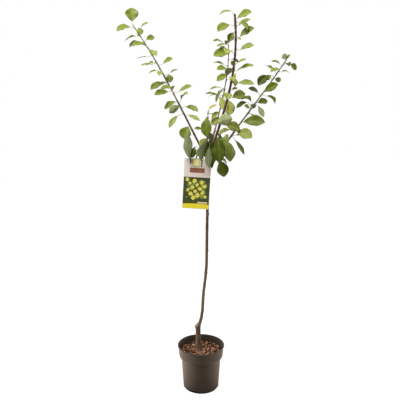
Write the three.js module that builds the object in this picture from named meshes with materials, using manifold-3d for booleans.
// A young plum tree in a nursery pot, about a metre and three quarters tall.
// A rootstock and a grafted stem carry four long shoots, with leafy sprigs round the trunk's knotty head,
// and a printed label hangs in front of the stem by a strap round the left shoot.
// Millimetres, +Z up. The origin is the middle of the pot's underside, and -Y is the front.

import * as THREE from "three";
import { mergeVertices } from "three/addons/utils/BufferGeometryUtils.js";
import Module from "manifold-3d";

const wasm = await Module();
wasm.setup();

const degrees = Math.PI / 180;
const up = new THREE.Vector3(0, 0, 1);

// What is left between pieces that meet.
const gap = 0.3;

const pot = {
  height: 205, lipRadius: 111.5, lipDepth: 6, collarRadius: 107.3, collarFootRadius: 104.8, collarFoot: 155,
  shoulder: 140, bodyRadius: 93.2, footRadius: 83.2, footEdge: 5, wall: 1.8, floor: 3, sides: 32,
};

// Drain slots at the foot of the pot, by compass angle with the front at 0.
const drain = { angles: [-24, -59, 61, 96, 181, 216], width: 35, depth: 18, height: 9 };

// The soil's surface, level within smoothRadius of the trunk, and the chips of bark that lie in it.
const soil = {
  level: 173, roughness: 1.5, smoothRadius: 26, fade: 12, rings: [76, 52, 30, 16],
  chips: 20, chipRing: [34, 84], chipTilt: 14,
  chipLength: [12, 24], chipWidth: [0.35, 0.6], chipDepth: [3, 5],
};

const trunk = {
  sides: 12, flareLobes: 3, flareDepth: 0.14, flareHeight: 45, middle: -8, head: 850,
  // Height, sideways place and radius of the stem: rootstock, graft, slim stem, and the head with the shoots.
  stations: [
    [173.3, -8, 18.5], [180, -8.3, 15.4], [192, -9.5, 13.4], [215, -11.5, 12.6], [250, -13.5, 12],
    [280, -14, 12], [292, -14, 13], [300, -13, 12.2], [309, -8, 9.4], [318, -3.5, 8.2], [340, 2, 7.4],
    [375, 7, 7.1], [453, 10.7, 7], [538, 21, 6.9], [594, 25.5, 6.8], [684, 26.7, 6.8], [800, 28, 6.6],
    [945, 31, 6.5], [1020, 33, 6.9], [1050, 33.6, 8.4], [1064, 34, 10.2], [1078, 34, 10.5], [1087, 34, 9],
    [1092, 34, 6],
  ],
  // Old buds and healed cuts: height, compass angle with 0 to the right, radius, and how far they stand out.
  knots: [
    [452, -20, 4.2, 6], [560, 170, 3.8, 5.6], [665, -10, 4.2, 6.2], [770, 185, 3.8, 5.4], [834, 0, 4.4, 6.2],
    [297, 165, 7.5, 13], [1056, 20, 5.5, 8.5], [1068, 150, 5.5, 8.5], [1074, -70, 4.5, 8], [1060, 80, 5, 8],
  ],
};

const limb = { boughSides: 8, boughSteps: 6, twigSides: 6, twigSteps: 10, stalkRadius: 1.3 };

// How leaves differ: each leaf draws its own value from these ranges, angles in degrees.
// size and droop are shares of the shoot's own, stalk and width are shares of the leaf's length.
const habit = {
  size: [0.8, 1.2], stalk: [0.26, 0.46], width: [0.52, 0.76], rise: [-28, 28], droop: [0.45, 1.55],
  fold: [8, 36], roll: [-40, 40], twist: [-35, 35], opening: [52, 84], turn: [-35, 35],
  spiral: 144, twinTurn: 130, twinSize: 0.75, tries: 4, nextTry: 70, largeFold: 16,
};

// Half the thickness of a blade along its rib, as a share of its length, and never less than the second.
const bladeThickness = 0.011;
const thinnestBlade = 0.7;

// How far a blade keeps from its own stem, other masses, limbs, the trunk and other leaves.
const clearance = { stem: 2, mass: 3, limb: 4, trunk: 15, leaf: 6 };

const label = { width: 120, height: 226, thickness: 1, lean: 3.3, middle: [-19.6, -14, 974], hole: 3.2 };

// The strap: a ring round the left shoot, a ribbon down to a badge, and a peg through the label to a button.
const strap = {
  at: 0.115, ringWall: 1.6, ringHeight: 8, ribbonWidth: 7, thickness: 1.6,
  badge: [34, 38], badgeMiddle: [-22.6, -15.6, 1070], pegRadius: 2.8, buttonRadius: 6, buttonThickness: 1.4,
};

// Where no leaf grows by the rule: round the label and its strap, before and beside the leaves that have a
// place of their own, and where the crown is open. Each is the lowest and highest corner of a box.
const clearSpaces = [
  [[-92, -24, 850], [52, -8, 1100]],
  [[-46, -24, 1085], [14, 12, 1156]],
  [[50, -200, 1010], [150, -28, 1200]],
  [[-12, -200, 1045], [50, -52, 1275]],
  [[-190, -200, 1040], [-78, 200, 1165]],
  [[-40, -200, 1148], [-8, 200, 1215]],
  [[-160, -200, 1160], [-10, 200, 1300]],
  [[46, -200, 980], [72, 200, 1078]],
  [[126, -200, 980], [176, 200, 1070]],
  [[152, -200, 1080], [230, 200, 1162]],
];

// Each shoot is a limb or a sprig: its path, its thickness, how much of it is bare, and its leaves.
// path: control points of one smooth curve from inside the trunk's head to the tip.
// bare: the share of the path with no leaves, which is the bough of a limb.
// nodes: places along the stem where a leaf may grow; pairs: the share of them with a second leaf.
// leaf: leaf length from the foot of the leafy part to its tip.
// rise and droop: how far a blade starts above the level, and how far it bends down along its length.
const shoots = [
  {
    name: "left", path: [[34, 0, 1070], [-78, 8, 1283], [-169, 26, 1484], [-301, 45, 1672]],
    footRadius: 5.4, tipRadius: 1.6, bare: 0.19, nodes: 10, pairs: 0.1, leaf: [64, 44], rise: 12, droop: 62,
    bough: true, seed: 1287,
  },
  {
    name: "leader", path: [[34, 0, 1086], [106, -23, 1310], [165, -57, 1461], [136, -110, 1678]],
    footRadius: 6.4, tipRadius: 4.2, bare: 0.3, nodes: 7, pairs: 0.1, leaf: [64, 50], rise: 12, droop: 60,
    bough: true, seed: 10811,
  },
  {
    name: "inner", path: [[34, 3, 1062], [56, 50, 1243], [136, 95, 1414], [127, 140, 1608]],
    footRadius: 4.2, tipRadius: 1.6, bare: 0.24, nodes: 9, pairs: 0.1, leaf: [60, 44], rise: 10, droop: 60,
    bough: true, seed: 9897,
  },
  {
    name: "right", path: [[34, 0, 1034], [138, -8, 1210], [271, -29, 1364], [365, -50, 1513]],
    footRadius: 4.8, tipRadius: 1.6, bare: 0.24, nodes: 8, pairs: 0.1, leaf: [64, 42], rise: 10, droop: 60,
    bough: true, seed: 1153,
  },
  {
    name: "front", path: [[33, 0, 1070], [24, -38, 1144], [26, -66, 1212], [30, -72, 1290]],
    footRadius: 3.2, tipRadius: 1.6, bare: 0.12, nodes: 12, pairs: 0.3, leaf: [70, 56], rise: -10, droop: 60,
    seed: 11861,
  },
  {
    name: "lower_left", path: [[33, 0, 1050], [16, 8, 1076], [2, 14, 1104], [-14, 16, 1130]],
    footRadius: 3, tipRadius: 1.6, bare: 0.2, nodes: 6, pairs: 0.2, leaf: [50, 60], rise: -26, droop: 50,
    seed: 8824,
  },
  {
    name: "lower_right", path: [[34, 0, 1064], [56, -12, 1070], [74, -40, 1092], [82, -60, 1160]],
    footRadius: 3, tipRadius: 1.6, bare: 0.2, nodes: 12, pairs: 0.2, leaf: [80, 86], rise: -34, droop: 45,
    tipLeaf: 70, seed: 11958,
  },
  {
    name: "back", path: [[34, 0, 1044], [40, 40, 1080], [50, 70, 1130], [56, 84, 1200]],
    footRadius: 3, tipRadius: 1.6, bare: 0.2, nodes: 12, pairs: 0.2, leaf: [84, 80], rise: -10, droop: 60,
    tipLeaf: 60, seed: 10120,
  },
];

// The leaves that have a place of their own and give the crown its outline.
// at: where the stalk leaves the shoot; from and to: the blade's foot and tip.
// faces: where its upper side looks, as a compass angle with 0 to the right and -90 to the front.
// lift: how far above the level its upper side looks.
const largeLeaves = {
  left: [
    { at: 0.995, from: [-304, 45, 1687], to: [-308, 50, 1746], width: 60, droop: 12, faces: -80, lift: 0 },
    { at: 0.97, from: [-309, 40, 1661], to: [-364, 6, 1636], width: 36, droop: 60, faces: -90, lift: 35 },
    { at: 0.945, from: [-267, 39, 1658], to: [-230, 18, 1673], width: 22, droop: 50, faces: -90, lift: 45 },
    { at: 0.915, from: [-288, 45, 1624], to: [-344, 76, 1607], width: 28, droop: 50, faces: -90, lift: 50 },
    { at: 0.865, from: [-242, 42, 1608], to: [-207, 58, 1623], width: 30, droop: 30, faces: -90, lift: 20 },
    { at: 0.79, from: [-221, 24, 1557], to: [-194, 7, 1535], width: 26, droop: 30, faces: -90, lift: 25 },
    { at: 0.69, from: [-169, 33, 1504], to: [-124, 5, 1520], width: 28, droop: 45, faces: -90, lift: 30 },
    { at: 0.58, from: [-166, 16, 1420], to: [-221, -5, 1388], width: 34, droop: 40, faces: -90, lift: 30 },
    { at: 0.51, from: [-144, 15, 1381], to: [-204, -16, 1365], width: 34, droop: 30, faces: -90, lift: 35 },
    { at: 0.49, from: [-98, 17, 1381], to: [-40, 1, 1405], width: 28, droop: 35, faces: -90, lift: 40 },
    { at: 0.43, from: [-112, 23, 1338], to: [-167, 49, 1308], width: 36, droop: 30, faces: -90, lift: 20 },
    { at: 0.4, from: [-93, 5, 1319], to: [-140, -24, 1288], width: 36, droop: 20, faces: 90, lift: 20 },
    { at: 0.38, from: [-71, 9, 1315], to: [-14, -12, 1293], width: 30, droop: 50, faces: -90, lift: 40 },
    { at: 0.225, from: [-57, 26, 1230], to: [-75, 22, 1174], width: 57, droop: 30, faces: -100, lift: 0 },
    { at: 0.2, from: [-60, -52, 1205], to: [-53, -46, 1093], width: 38, droop: 24, faces: 60, lift: 0 },
    { at: 0.83, from: [-241, 30, 1578], to: [-301, 4, 1572], width: 24, droop: 90, faces: -90, lift: 30 },
    { at: 0.77, from: [-240, 36, 1534], to: [-288, 66, 1532], width: 18, droop: 30, faces: -90, lift: 72 },
    { at: 0.72, from: [-213, 25, 1500], to: [-264, 4, 1492], width: 22, droop: 30, faces: -90, lift: 62 },
    { at: 0.67, from: [-198, 32, 1474], to: [-237, 56, 1463], width: 20, droop: 50, faces: -90, lift: 50 },
    { at: 0.615, from: [-144, 16, 1456], to: [-137, 10, 1421], width: 34, droop: 20, faces: -90, lift: 20 },
    { at: 0.6, from: [-138, 28, 1462], to: [-103, 50, 1483], width: 12, droop: 40, faces: -90, lift: 55 },
    { at: 0.53, from: [-145, 28, 1401], to: [-184, 52, 1398], width: 26, droop: 30, faces: -90, lift: 30 },
    { at: 0.3, from: [-60, 4, 1280], to: [-5, -17, 1253], width: 22, droop: 20, faces: -90, lift: 40 },
    { at: 0.34, from: [-103, 9, 1277], to: [-141, -15, 1223], width: 26, droop: 30, faces: -90, lift: 30 },
    { at: 0.95, from: [-272, 28, 1656], to: [-265, 22, 1625], width: 30, droop: 30, faces: -90, lift: 10 },
  ],
  leader: [
    { at: 0.995, from: [121, -106, 1688], to: [73, -80, 1680], width: 24, droop: 60, faces: -90, lift: 50 },
    { at: 0.965, from: [148, -105, 1662], to: [202, -138, 1677], width: 34, droop: 45, faces: -90, lift: 20 },
    { at: 0.93, from: [154, -90, 1638], to: [206, -69, 1667], width: 24, droop: 30, faces: -90, lift: 45 },
    { at: 0.925, from: [118, -105, 1636], to: [67, -136, 1603], width: 38, droop: 50, faces: -90, lift: 30 },
    { at: 0.86, from: [160, -92, 1592], to: [217, -108, 1624], width: 36, droop: 35, faces: -90, lift: 30 },
    { at: 0.78, from: [162, -81, 1542], to: [217, -107, 1554], width: 32, droop: 40, faces: -90, lift: 35 },
    { at: 0.64, from: [152, -59, 1460], to: [219, -95, 1476], width: 34, droop: 40, faces: -90, lift: 50 },
    { at: 0.555, from: [154, -45, 1412], to: [230, -24, 1409], width: 34, droop: 25, faces: -90, lift: 40 },
    { at: 0.44, from: [134, -31, 1351], to: [195, 0, 1372], width: 44, droop: 20, faces: -90, lift: 5 },
    { at: 0.89, from: [134, -94, 1610], to: [114, -98, 1572], width: 30, droop: 20, faces: -90, lift: 0 },
    { at: 0.84, from: [149, -91, 1587], to: [166, -95, 1581], width: 12, droop: 30, faces: -90, lift: 30 },
    { at: 0.67, from: [153, -71, 1491], to: [188, -93, 1502], width: 16, droop: 40, faces: -90, lift: 35 },
    { at: 0.645, from: [140, -72, 1479], to: [125, -84, 1497], width: 20, droop: 30, faces: -90, lift: 0 },
    { at: 0.485, from: [133, -41, 1384], to: [159, -25, 1393], width: 16, droop: 30, faces: -90, lift: 40 },
  ],
  inner: [
    { at: 0.92, from: [134, 121, 1567], to: [57, 105, 1551], width: 46, droop: 40, faces: -90, lift: 20 },
    { at: 0.76, from: [124, 97, 1465], to: [73, 71, 1433], width: 34, droop: 40, faces: -90, lift: 30 },
    { at: 0.54, from: [119, 44, 1350], to: [127, 42, 1280], width: 54, droop: 22, faces: -90, lift: 0 },
    { at: 0.99, from: [102, 136, 1614], to: [55, 115, 1617], width: 20, droop: 70, faces: -90, lift: 50 },
    { at: 0.985, from: [116, 126, 1606], to: [73, 99, 1590], width: 18, droop: 40, faces: -90, lift: 50 },
    { at: 0.82, from: [106, 119, 1513], to: [56, 135, 1523], width: 20, droop: 60, faces: -90, lift: 55 },
    { at: 0.8, from: [118, 104, 1496], to: [73, 78, 1486], width: 34, droop: 30, faces: -90, lift: 35 },
    { at: 0.63, from: [91, 83, 1406], to: [39, 51, 1393], width: 14, droop: 50, faces: -90, lift: 50 },
    { at: 0.625, from: [96, 76, 1400], to: [68, 59, 1339], width: 16, droop: 40, faces: -90, lift: 40 },
    { at: 0.57, from: [87, 85, 1373], to: [30, 116, 1368], width: 14, droop: 40, faces: -90, lift: 60 },
    { at: 0.55, from: [84, 60, 1361], to: [114, 44, 1300], width: 40, droop: 20, faces: -110, lift: 0 },
  ],
  right: [
    { at: 0.96, from: [379, -48, 1489], to: [410, -29, 1469], width: 30, droop: 40, faces: -90, lift: 20 },
    { at: 0.89, from: [337, -48, 1470], to: [293, -75, 1453], width: 24, droop: 40, faces: -90, lift: 45 },
    { at: 0.8, from: [291, -28, 1444], to: [246, -49, 1401], width: 40, droop: 45, faces: -90, lift: 20 },
    { at: 0.7, from: [274, -39, 1375], to: [327, -70, 1404], width: 38, droop: 30, faces: -90, lift: 15 },
    { at: 0.655, from: [247, -31, 1372], to: [202, -47, 1390], width: 22, droop: 50, faces: 90, lift: 40 },
    { at: 0.6, from: [247, -21, 1330], to: [295, 5, 1339], width: 32, droop: 30, faces: -90, lift: 20 },
    { at: 0.585, from: [248, -31, 1317], to: [272, -37, 1269], width: 24, droop: 15, faces: 90, lift: 10 },
    { at: 0.43, from: [186, -27, 1252], to: [279, -48, 1252], width: 48, droop: 30, faces: -90, lift: 20 },
    { at: 0.36, from: [166, -26, 1207], to: [240, -57, 1190], width: 46, droop: 30, faces: -85, lift: 15 },
    { at: 0.345, from: [172, -36, 1213], to: [108, -52, 1235], width: 37, droop: 45, faces: -60, lift: 0 },
    { at: 0.325, from: [129, -3, 1214], to: [80, 23, 1196], width: 26, droop: 50, faces: -90, lift: 35 },
    { at: 0.3, from: [151, -6, 1170], to: [197, 23, 1103], width: 22, droop: 15, faces: -90, lift: 30 },
    { at: 0.99, from: [366, -46, 1512], to: [379, -42, 1531], width: 12, droop: 20, faces: -90, lift: 40 },
    { at: 0.985, from: [361, -52, 1508], to: [347, -54, 1531], width: 26, droop: 20, faces: 90, lift: 0 },
    { at: 0.925, from: [337, -41, 1492], to: [300, -25, 1504], width: 18, droop: 60, faces: -90, lift: 50 },
    { at: 0.88, from: [347, -39, 1459], to: [382, -17, 1458], width: 14, droop: 70, faces: -90, lift: 50 },
    { at: 0.825, from: [303, -33, 1445], to: [281, -25, 1427], width: 26, droop: 30, faces: -90, lift: 20 },
    { at: 0.82, from: [317, -45, 1431], to: [338, -51, 1416], width: 26, droop: 30, faces: -90, lift: 20 },
    { at: 0.54, from: [201, -15, 1333], to: [158, 12, 1310], width: 26, droop: 50, faces: -90, lift: 30 },
    { at: 0.52, from: [213, -28, 1306], to: [186, -44, 1316], width: 22, droop: 30, faces: -90, lift: 30 },
  ],
  front: [
    { at: 0.995, from: [31, -74, 1295], to: [67, -80, 1315], width: 18, droop: 60, faces: -90, lift: 50 },
    { at: 0.88, from: [44, -70, 1261], to: [77, -66, 1289], width: 20, droop: 30, faces: -90, lift: 30 },
    { at: 0.86, from: [24, -84, 1267], to: [23, -94, 1183], width: 50, droop: 24, faces: -110, lift: 0 },
    { at: 0.8, from: [80, -86, 1263], to: [44, -96, 1235], width: 36, droop: 36, faces: -70, lift: 0 },
    { at: 0.7, from: [72, -98, 1243], to: [132, -104, 1262], width: 38, droop: 40, faces: 85, lift: 0 },
    { at: 0.62, from: [24, -44, 1176], to: [-5, -48, 1144], width: 28, droop: 30, faces: -90, lift: 20 },
    { at: 0.6, from: [27, -82, 1176], to: [0, -76, 1080], width: 38, droop: 30, faces: 120, lift: 0 },
    { at: 0.5, from: [38, -60, 1204], to: [43, -64, 1166], width: 26, droop: 20, faces: 90, lift: 0 },
    { at: 0.45, from: [38, -62, 1144], to: [34, -64, 1049], width: 34, droop: 22, faces: 75, lift: 0 },
    { at: 0.42, from: [48, -34, 1179], to: [28, -40, 1078], width: 44, droop: 20, faces: -90, lift: 0 },
    { at: 0.4, from: [51, -46, 1146], to: [48, -48, 1046], width: 30, droop: 20, faces: -70, lift: 0 },
  ],
  lower_left: [
    { at: 0.95, from: [-27, 8, 1141], to: [-39, 4, 1089], width: 28, droop: 20, faces: -90, lift: 0 },
  ],
  lower_right: [
    { at: 0.85, from: [70, -84, 1183], to: [77, -96, 1072], width: 58, droop: 26, faces: -105, lift: 0 },
    { at: 0.9, from: [98, -50, 1172], to: [126, -60, 1075], width: 62, droop: 26, faces: -60, lift: 0 },
    { at: 0.4, from: [82, -40, 1081], to: [101, -46, 1008], width: 54, droop: 20, faces: -90, lift: 0 },
  ],
};

// A fixed stream of numbers between 0 and 1, the same on every run.
function randomStream(seed) {
  let state = seed;
  return () => {
    state = (state + 0x6d2b79f5) >>> 0;
    let mixed = Math.imul(state ^ (state >>> 15), state | 1);
    mixed ^= mixed + Math.imul(mixed ^ (mixed >>> 7), mixed | 61);
    return ((mixed ^ (mixed >>> 14)) >>> 0) / 2 ** 32;
  };
}

const mix = (low, high, share) => low + (high - low) * share;
const vector = (numbers) => new THREE.Vector3(...numbers);
const shootCurve = (shoot) => new THREE.CubicBezierCurve3(...shoot.path.map(vector));
const shootRadius = (shoot, share) => mix(shoot.footRadius, shoot.tipRadius, share);

// A point along an arc that leaves `from` at the angle `rise` and bends down by `droop` over its length.
function arcPoint(from, heading, rise, droop, length, share) {
  const bend = Math.abs(droop) < 0.001 ? 0.001 : droop;
  const out = (length * (Math.sin(rise) - Math.sin(rise - bend * share))) / bend;
  const lift = (length * (Math.cos(rise - bend * share) - Math.cos(rise))) / bend;
  return new THREE.Vector3(from.x + out * Math.cos(heading), from.y + out * Math.sin(heading), from.z + lift);
}

// Half the blade's width, which is greatest a little past the middle.
const halfWidth = (leaf, along) => 0.5 * leaf.width * Math.sin(Math.PI * along ** 1.2) ** 0.8;

// A point of the blade: along runs from its foot to its tip, across from -1 to 1 between its edges.
function bladePoint(leaf, along, across, lift = 0) {
  const rise = leaf.rise - leaf.droop * along;
  const roll = leaf.roll + leaf.twist * along;
  const side = new THREE.Vector3(-Math.sin(leaf.heading), Math.cos(leaf.heading), 0);
  const above = new THREE.Vector3(
    -Math.sin(rise) * Math.cos(leaf.heading), -Math.sin(rise) * Math.sin(leaf.heading), Math.cos(rise));
  const sideways = side.clone().multiplyScalar(Math.cos(roll)).addScaledVector(above, Math.sin(roll));
  const face = above.clone().multiplyScalar(Math.cos(roll)).addScaledVector(side, -Math.sin(roll));
  const reach = halfWidth(leaf, along);
  return arcPoint(leaf.foot, leaf.heading, leaf.rise, leaf.droop, leaf.length, along)
    .addScaledVector(sideways, across * reach * Math.cos(leaf.fold))
    .addScaledVector(face, Math.abs(across) * reach * Math.sin(leaf.fold) + lift);
}

// The points of a leaf that its clearance is measured from: those of its blade, and those of its stalk too.
function mark(leaf) {
  leaf.bladeMarks = [bladePoint(leaf, 1, 0)];
  for (const along of [0.15, 0.35, 0.55, 0.75, 0.9]) {
    for (const across of [-1, -0.5, 0, 0.5, 1]) leaf.bladeMarks.push(bladePoint(leaf, along, across));
  }
  const stalkMarks = [0.5, 0.75, 1].map((share) => leaf.root.clone().lerp(leaf.foot, share));
  leaf.marks = stalkMarks.concat(leaf.bladeMarks);
  return leaf;
}

// A placed leaf, from the two ends of its blade and the way that its upper side looks.
function largeLeaf(plan, shoot) {
  const foot = vector(plan.from);
  const chord = vector(plan.to).sub(foot);
  const droop = plan.droop * degrees;
  const leaf = { root: shootCurve(shoot).getPoint(plan.at), foot, width: plan.width, droop, twist: 0 };
  leaf.length = (chord.length() * droop) / 2 / Math.sin(droop / 2);
  leaf.heading = Math.atan2(chord.y, chord.x);
  leaf.rise = Math.asin(chord.z / chord.length()) + droop / 2;
  const middle = leaf.rise - droop / 2;
  const turn = plan.faces * degrees - leaf.heading;
  const lift = plan.lift * degrees;
  leaf.roll = Math.atan2(
    -Math.cos(lift) * Math.sin(turn),
    Math.cos(middle) * Math.sin(lift) - Math.sin(middle) * Math.cos(lift) * Math.cos(turn));
  leaf.fold = habit.largeFold * degrees;
  return mark(leaf);
}

// A leaf whose stalk starts off at the stem's point `root` in the direction `start`.
function grownLeaf(shoot, root, start, size, draw) {
  const leaf = { root, length: size * mix(...habit.size, draw()) };
  const stalk = leaf.length * mix(...habit.stalk, draw());
  const stalkRise = Math.asin(Math.max(-1, Math.min(1, start.z)));
  leaf.heading = Math.atan2(start.y, start.x);
  leaf.rise = 0.4 * stalkRise + (shoot.rise + mix(...habit.rise, draw())) * degrees;
  leaf.droop = shoot.droop * mix(...habit.droop, draw()) * degrees;
  leaf.width = leaf.length * mix(...habit.width, draw());
  leaf.fold = mix(...habit.fold, draw()) * degrees;
  leaf.roll = mix(...habit.roll, draw()) * degrees;
  leaf.twist = mix(...habit.twist, draw()) * degrees;
  leaf.foot = arcPoint(root, leaf.heading, stalkRise, stalkRise - leaf.rise, stalk, 1);
  return mark(leaf);
}

function nearest(point, others) {
  let best = Infinity;
  for (const other of others) best = Math.min(best, point.distanceTo(other));
  return best;
}

const inside = (point, box) => box[0].every((low, i) => {
  const at = point.getComponent(i);
  return at > low && at < box[1][i];
});

// A leaf grows only where it is nearer to its own stem than to another, and touches no limb, leaf or label.
function hasRoom(leaf, shoot, neighbours) {
  const offStem = shoot.footRadius + clearance.stem;
  if (leaf.bladeMarks.some((point) => nearest(point, shoot.stemMarks) < offStem)) return false;
  const ownSpace = leaf.marks.every((point) => {
    const own = nearest(point, shoot.stemMarks);
    return shoots.every((other) => other === shoot || nearest(point, other.stemMarks) > own + clearance.mass)
      && shoots.every((other) => nearest(point, other.bareMarks) > other.footRadius + clearance.limb)
      && nearest(point, trunkMarks) > clearance.trunk
      && !clearSpaces.some((box) => inside(point, box));
  });
  const meets = (other) => leaf.marks.some((point) => nearest(point, other.marks) < clearance.leaf);
  return ownSpace && !neighbours.some(meets);
}

// The leaves of one shoot: its large leaves first, then up to two at each node, spiralling up the stem.
function growLeaves(shoot) {
  const curve = shootCurve(shoot);
  const leaves = shoot.large.slice();
  const others = shoots.filter((other) => other !== shoot).flatMap((other) => other.large);
  const tipDraw = randomStream(100 * shoot.seed);
  const phase = 360 * tipDraw();
  if (shoot.tipLeaf) {
    leaves.push(grownLeaf(shoot, curve.getPoint(0.995), curve.getTangent(1), shoot.tipLeaf, tipDraw));
  }
  for (let node = 0; node < shoot.nodes; node++) {
    const draw = randomStream(100 * shoot.seed + node + 1);
    const share = (node + 0.5) / shoot.nodes;
    const at = mix(shoot.bare + 0.02, 0.99, share) + mix(-0.006, 0.006, draw());
    const stem = curve.getTangent(at);
    const level = new THREE.Vector3().crossVectors(stem, up).normalize();
    const over = new THREE.Vector3().crossVectors(level, stem);
    const count = draw() < shoot.pairs ? 2 : 1;
    for (let twin = 0; twin < count; twin++) {
      for (let attempt = 0; attempt < habit.tries; attempt++) {
        const about = habit.spiral * node + habit.twinTurn * twin + habit.nextTry * attempt;
        const turn = (phase + about + mix(...habit.turn, draw())) * degrees;
        const open = mix(...habit.opening, draw()) * degrees;
        const start = stem.clone().multiplyScalar(Math.cos(open))
          .addScaledVector(level, Math.sin(open) * Math.cos(turn))
          .addScaledVector(over, Math.sin(open) * Math.sin(turn));
        const size = mix(...shoot.leaf, share) * (twin ? habit.twinSize : 1);
        const leaf = grownLeaf(shoot, curve.getPoint(at), start, size, draw);
        if (hasRoom(leaf, shoot, leaves.concat(others))) {
          leaves.push(leaf);
          break;
        }
      }
    }
  }
  return leaves;
}

const steps = (count, low, high) => Array.from({ length: count + 1 }, (_, i) => mix(low, high, i / count));
const around = (count) => Array.from({ length: count }, (_, i) => (2 * Math.PI * i) / count);

// Places along the trunk and along each shoot, bare part and leafy part apart.
const trunkMarks = trunk.stations
  .filter(([height]) => height > trunk.head)
  .flatMap(([height, x], i, list) => {
    const [nextHeight, nextX] = list[i + 1] ?? [height, x];
    return steps(8, 0, 1).map((s) => new THREE.Vector3(mix(x, nextX, s), 0, mix(height, nextHeight, s)));
  });
for (const shoot of shoots) {
  const curve = shootCurve(shoot);
  shoot.stemMarks = steps(24, shoot.bare, 1).map((share) => curve.getPoint(share));
  shoot.bareMarks = steps(8, 0, shoot.bare).map((share) => curve.getPoint(share));
  shoot.large = (largeLeaves[shoot.name] ?? []).map((plan) => largeLeaf(plan, shoot));
}

// A closed solid from a three.js geometry, for cutting and joining.
function solid(geometry) {
  const bare = geometry.clone();
  for (const name of ["normal", "uv"]) bare.deleteAttribute(name);
  const merged = mergeVertices(bare, 1e-4);
  const vertProperties = new Float32Array(merged.attributes.position.array);
  const triVerts = new Uint32Array(merged.index.array);
  return new wasm.Manifold(new wasm.Mesh({ numProp: 3, vertProperties, triVerts }));
}

// The largest body of a solid, with any loose scrap dropped, as a three.js geometry.
function shapeOf(joined) {
  const bodies = joined.decompose().sort((a, b) => b.volume() - a.volume());
  const { vertProperties, triVerts } = bodies[0].simplify(0.02).getMesh();
  const geometry = new THREE.BufferGeometry();
  geometry.setAttribute("position", new THREE.BufferAttribute(new Float32Array(vertProperties), 3));
  geometry.setIndex(new THREE.BufferAttribute(new Uint32Array(triVerts), 1));
  geometry.computeVertexNormals();
  return geometry;
}

const join = (solids) => wasm.Manifold.union(solids);
const piece = (name, shape, material) => {
  const mesh = new THREE.Mesh(shape, material);
  mesh.name = name;
  return mesh;
};

// A closed skin over rings of the same count of points, with a flat cap at each end or a pointed tip.
// Neighbouring sides are split along mirrored diagonals, so that the two faces of a thin blade never cross.
function loft(rings, tip) {
  const sides = rings[0].length;
  const corners = rings.flat().flatMap((point) => [point.x, point.y, point.z]);
  const faces = [];
  for (let ring = 0; ring + 1 < rings.length; ring++) {
    for (let side = 0; side < sides; side++) {
      const a = ring * sides + side;
      const b = ring * sides + ((side + 1) % sides);
      if (side % 2) faces.push(a, b, a + sides, b, b + sides, a + sides);
      else faces.push(a, b, b + sides, a, b + sides, a + sides);
    }
  }
  const last = (rings.length - 1) * sides;
  for (let side = 1; side + 1 < sides; side++) {
    faces.push(0, side + 1, side);
    if (!tip) faces.push(last, last + side, last + side + 1);
  }
  if (tip) {
    corners.push(tip.x, tip.y, tip.z);
    for (let side = 0; side < sides; side++) {
      faces.push(last + side, last + ((side + 1) % sides), last + sides);
    }
  }
  const geometry = new THREE.BufferGeometry();
  geometry.setAttribute("position", new THREE.BufferAttribute(new Float32Array(corners), 3));
  geometry.setIndex(faces);
  return geometry;
}

// A tube through a row of points, with its radius at each.
function tube(points, radii, sides) {
  const side = new THREE.Vector3(1, 0, 0);
  const rings = points.map((point, i) => {
    const before = points[Math.max(i - 1, 0)];
    const after = points[Math.min(i + 1, points.length - 1)];
    const along = after.clone().sub(before).normalize();
    side.addScaledVector(along, -side.dot(along)).normalize();
    const other = new THREE.Vector3().crossVectors(along, side);
    return around(sides).map((angle) => point.clone()
      .addScaledVector(side, radii[i] * Math.cos(angle))
      .addScaledVector(other, radii[i] * Math.sin(angle)));
  });
  return loft(rings);
}

// A stretch of a shoot between two shares of its path.
function stem(shoot, low, high, sides, count) {
  const curve = shootCurve(shoot);
  const shares = steps(count, low, high);
  return solid(tube(shares.map((s) => curve.getPoint(s)), shares.map((s) => shootRadius(shoot, s)), sides));
}

// A leaf in one piece: a thin stalk from the middle of the stem, which opens into the blade.
// The blade is thickest along its rib and sharp at its edges, a hundredth of its length thick on average.
function leafSolid(leaf) {
  const half = Math.max(thinnestBlade, bladeThickness * leaf.length);
  const foot = bladePoint(leaf, 0, 0);
  const outward = bladePoint(leaf, 0.01, 0).sub(foot).normalize();
  const above = bladePoint(leaf, 0, 0, 1).sub(foot);
  const sideways = new THREE.Vector3().crossVectors(above, outward);
  const stalk = foot.clone().sub(leaf.root).normalize();
  const stalkRing = (middle, heading) => {
    const turn = new THREE.Quaternion().setFromUnitVectors(outward, heading);
    return [[1, 0], [0, 1], [-1, 0], [0, -1]].map(([across, lift]) => middle.clone().addScaledVector(
      sideways.clone().multiplyScalar(across).addScaledVector(above, lift).applyQuaternion(turn),
      limb.stalkRadius));
  };
  const rings = [stalkRing(leaf.root, stalk), stalkRing(foot, stalk.clone().add(outward).normalize())];
  for (const along of [0.2, 0.5, 0.8]) {
    const section = [[1, 0], [0, half], [-1, 0], [0, -half]];
    rings.push(section.map(([across, lift]) => bladePoint(leaf, along, across, lift)));
  }
  return solid(loft(rings, bladePoint(leaf, 1, 0)));
}

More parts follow.
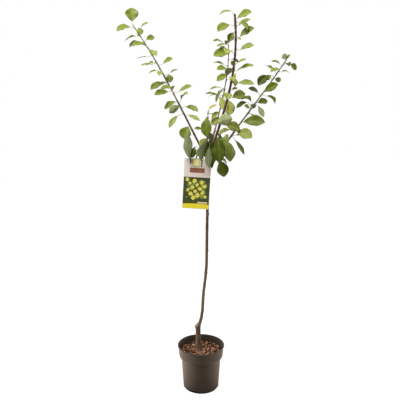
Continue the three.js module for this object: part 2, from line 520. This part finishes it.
// The pot: a tapered body, a wider collar with a rolled lip, and slots round its foot for draining.
function potShape() {
  const outer = [
    [0, 0], [pot.footRadius - pot.footEdge, 0], [pot.footRadius - 0.3 * pot.footEdge, 0.3 * pot.footEdge],
    [pot.footRadius, pot.footEdge], [pot.bodyRadius, pot.shoulder], [pot.collarFootRadius, pot.collarFoot],
    [pot.collarRadius, pot.height - pot.lipDepth], [pot.lipRadius - 1, pot.height - pot.lipDepth],
    [pot.lipRadius, pot.height - pot.lipDepth / 2], [pot.lipRadius - 1, pot.height],
  ];
  const inner = [
    [pot.collarRadius - pot.wall, pot.height], [pot.collarFootRadius - pot.wall, pot.collarFoot + 0.6],
    [pot.bodyRadius - pot.wall, pot.shoulder + 1.2], [pot.footRadius - pot.wall, pot.footEdge + 1],
    [pot.footRadius - pot.wall - 2, pot.floor], [0, pot.floor],
  ];
  const profile = outer.concat(inner).map(([r, z]) => new THREE.Vector2(r, z));
  const body = solid(new THREE.LatheGeometry(profile, pot.sides).rotateX(90 * degrees));
  const slots = drain.angles.map((angle) => solid(
    new THREE.BoxGeometry(drain.width, drain.depth, 2 * drain.height)
      .translate(0, -(pot.footRadius - drain.depth / 2 + 4), 0)
      .rotateZ(angle * degrees)));
  return shapeOf(body.subtract(join(slots)));
}

// How high the soil stands at a place: gently uneven, and level round the foot of the trunk.
function soilHeight(x, y) {
  const away = Math.hypot(x - trunk.middle, y);
  const fade = Math.min(1, Math.max(0, (away - soil.smoothRadius) / soil.fade));
  const wave = Math.sin(0.11 * x + 1) * Math.cos(0.13 * y) + Math.sin(0.21 * x - 0.17 * y);
  return soil.level + fade * soil.roughness * wave;
}

// The soil fills the pot up to its level, with chips of bark lying half sunk in it.
function soilShape() {
  const rim = pot.collarFootRadius - pot.wall - gap;
  const rise = (pot.collarRadius - pot.collarFootRadius) / (pot.height - pot.lipDepth - pot.collarFoot);
  const wall = [
    [rim + rise * (soil.level - pot.collarFoot - 4), soil.level], [rim, pot.collarFoot + 0.6],
    [pot.bodyRadius - pot.wall - gap, pot.shoulder + 1.2],
    [pot.footRadius - pot.wall - gap, pot.footEdge + 1],
    [pot.footRadius - pot.wall - 3, pot.floor + gap], [0, pot.floor + gap],
  ].reverse();
  const profile = wall.concat(soil.rings.map((r) => [r, soil.level]), [[0, soil.level]]);
  const ground = new THREE.LatheGeometry(profile.map(([r, z]) => new THREE.Vector2(r, z)), pot.sides)
    .rotateX(90 * degrees);
  const corners = ground.attributes.position;
  for (let i = 0; i < corners.count; i++) {
    const away = Math.hypot(corners.getX(i), corners.getY(i));
    const onTop = corners.getZ(i) > soil.level - 1 && away < soil.rings[0] + 1;
    if (onTop) corners.setZ(i, soilHeight(corners.getX(i), corners.getY(i)));
  }
  const draw = randomStream(7);
  const chips = steps(soil.chips - 1, 0, 1).map((share) => {
    const turn = 360 * draw() * degrees;
    const ring = Math.sqrt(mix(soil.chipRing[0] ** 2, soil.chipRing[1] ** 2, share));
    const length = mix(...soil.chipLength, draw());
    const x = ring * Math.cos(turn);
    const y = ring * Math.sin(turn);
    const width = length * mix(...soil.chipWidth, draw());
    return solid(new THREE.BoxGeometry(length, width, mix(...soil.chipDepth, draw()))
      .rotateX(mix(-soil.chipTilt, soil.chipTilt, draw()) * degrees)
      .rotateY(mix(-soil.chipTilt, soil.chipTilt, draw()) * degrees)
      .rotateZ(360 * draw() * degrees)
      .translate(x, y, soilHeight(x, y) + 0.6));
  });
  return shapeOf(join([solid(ground), ...chips]));
}

// The trunk with its flared foot, graft, knots and head, or the same grown by an amount, for cutting with.
function trunkSolid(extra = 0) {
  const foot = trunk.stations[0][0];
  const rings = trunk.stations.map(([height, x, radius]) => {
    const flare = Math.max(0, 1 - (height - foot) / trunk.flareHeight) ** 2;
    return around(trunk.sides).map((angle) => {
      const lobe = 1 + trunk.flareDepth * flare * Math.sin(trunk.flareLobes * angle + 0.6);
      const reach = radius * lobe + extra;
      return new THREE.Vector3(x + reach * Math.cos(angle), reach * Math.sin(angle), height);
    });
  });
  const top = rings.length - 1;
  for (const corner of rings[top]) corner.z += extra;
  const knots = trunk.knots.map(([height, angle, radius, out]) => {
    const above = trunk.stations.findIndex(([station]) => station >= height);
    const x = mix(trunk.stations[above - 1][1], trunk.stations[above][1], 0.5);
    const reach = out - radius * 0.35;
    const turn = angle * degrees;
    return solid(new THREE.SphereGeometry(radius + extra, 6, 4).rotateX(90 * degrees)
      .translate(x + reach * Math.cos(turn), reach * Math.sin(turn), height));
  });
  return join([solid(loft(rings)), ...knots]);
}

const round = (radius, length, sides) => new THREE.CylinderGeometry(radius, radius, length, sides);

// The label, with the hole that its strap goes through.
function labelShape() {
  const [x, y, z] = label.middle;
  const card = solid(new THREE.BoxGeometry(label.width, label.thickness, label.height)
    .rotateY(label.lean * degrees).translate(x, y, z));
  const [holeX, , holeZ] = strap.badgeMiddle;
  return shapeOf(card.subtract(solid(round(label.hole, 10, 16).translate(holeX, y, holeZ))));
}

function strapShape() {
  const shoot = shoots.find(({ name }) => name === "left");
  const curve = shootCurve(shoot);
  const bore = shootRadius(shoot, strap.at) + gap;
  const outside = bore + strap.ringWall;
  const half = strap.ringHeight / 2;
  const profile = [[bore, -half], [outside, -half], [outside, half], [bore, half], [bore, -half]];
  const tilt = new THREE.Quaternion().setFromUnitVectors(up, curve.getTangent(strap.at));
  const middle = curve.getPoint(strap.at);
  const ring = new THREE.LatheGeometry(profile.map(([r, z]) => new THREE.Vector2(r, z)), 16)
    .rotateX(90 * degrees).applyQuaternion(tilt).translate(middle.x, middle.y, middle.z);

  const [badgeX, badgeY, badgeZ] = strap.badgeMiddle;
  const front = middle.y - bore - 0.6 * strap.ringWall;
  const path = new THREE.CatmullRomCurve3([
    new THREE.Vector3(middle.x - 0.5, front, middle.z - 1),
    new THREE.Vector3(middle.x - 7, front - 6, middle.z - 22),
    new THREE.Vector3(badgeX + 4, badgeY + 0.6, badgeZ + 32),
    new THREE.Vector3(badgeX, badgeY, badgeZ + 14),
  ]);
  const ribbon = loft(steps(10, 0, 1).map((share) => {
    const point = path.getPoint(share);
    const along = path.getTangent(share);
    const across = new THREE.Vector3(1, 0, 0).addScaledVector(along, -along.x).normalize();
    const out = new THREE.Vector3().crossVectors(along, across);
    return [[-1, -1], [1, -1], [1, 1], [-1, 1]].map(([a, b]) => point.clone()
      .addScaledVector(across, (a * strap.ribbonWidth) / 2)
      .addScaledVector(out, (b * strap.thickness) / 2));
  }));

  const badge = new THREE.BoxGeometry(strap.badge[0], strap.thickness, strap.badge[1])
    .translate(badgeX, badgeY, badgeZ);
  const labelBack = label.middle[1] + label.thickness / 2 + gap;
  const pegEnd = labelBack + strap.buttonThickness;
  const peg = round(strap.pegRadius, pegEnd - badgeY, 12).translate(badgeX, (pegEnd + badgeY) / 2, badgeZ);
  const button = round(strap.buttonRadius, strap.buttonThickness, 16)
    .translate(badgeX, labelBack + strap.buttonThickness / 2, badgeZ);
  return shapeOf(join([ring, ribbon, badge, peg, button].map(solid)));
}

const paint = (color, roughness) => new THREE.MeshStandardMaterial({ color, roughness, metalness: 0 });
const materials = {
  pot: paint(0x4a3f36, 0.45),
  soil: paint(0x4a3426, 0.95),
  trunk: paint(0x5a4632, 0.75),
  bough: paint(0x4a3a2c, 0.6),
  foliage: paint(0x6a7c2a, 0.5),
  label: paint(0xd0c4b8, 0.5),
  strap: paint(0x65713a, 0.45),
};

const tree = new THREE.Group();
tree.add(piece("pot", potShape(), materials.pot));
tree.add(piece("soil", soilShape(), materials.soil));
tree.add(piece("trunk", shapeOf(trunkSolid()), materials.trunk));

const grownTrunk = trunkSolid(gap);
for (const shoot of shoots) {
  const length = shootCurve(shoot).getLength();
  const start = shoot.bough ? shoot.bare + gap / length : 0;
  const twig = stem(shoot, start, 1, limb.twigSides, limb.twigSteps);
  if (shoot.bough) {
    const bough = stem(shoot, 0, shoot.bare, limb.boughSides, limb.boughSteps).subtract(grownTrunk);
    tree.add(piece(`bough_${shoot.name}`, shapeOf(bough), materials.bough));
  }
  const leaves = growLeaves(shoot).map(leafSolid);
  const mass = join([shoot.bough ? twig : twig.subtract(grownTrunk), ...leaves]);
  tree.add(piece(`foliage_${shoot.name}`, shapeOf(mass), materials.foliage));
}

tree.add(piece("label_card", labelShape(), materials.label));
tree.add(piece("label_strap", strapShape(), materials.strap));

export default tree;
